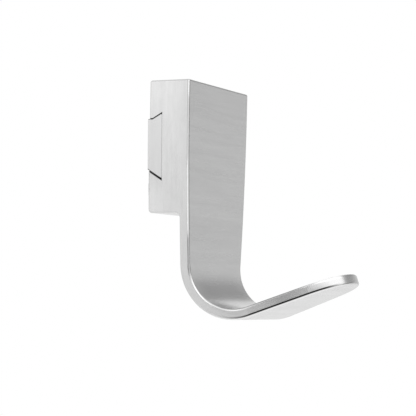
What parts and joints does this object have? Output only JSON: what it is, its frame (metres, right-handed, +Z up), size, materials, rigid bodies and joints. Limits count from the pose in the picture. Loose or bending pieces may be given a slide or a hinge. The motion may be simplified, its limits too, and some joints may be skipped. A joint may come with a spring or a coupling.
{
  "type": "wall hook",
  "caption": "Brushed steel wall hook: a block with a strap bent into a tapering, round-ended arm, slid onto a hidden dovetail wall plate and clamped from below.",
  "frame": {"origin": "on the wall, at the centre of the wall plate's back face, midway between its two screw holes", "axes": "+Z up, +Y into the wall, so the hook stands out towards -Y; X is sideways, the direction in which the hook slides on its plate"},
  "size_m": [0.036, 0.053, 0.0631],
  "materials": {
    "hook_steel": "brushed lengthwise on the sides and across on the front",
    "plate_steel": "brushed",
    "screw_steel": "plain machined"
  },
  "bodies": {
    "plate": {"wall_plate": "plate_steel"},
    "hook": {"hook_body": "hook_steel", "set_screw": "screw_steel"}
  },
  "joints": [
    {"name": "hook_slide", "type": "slide", "parent": "plate", "child": "hook", "axis": [1, 0, 0], "range_m": [-0.036, 0.036]}
  ]
}
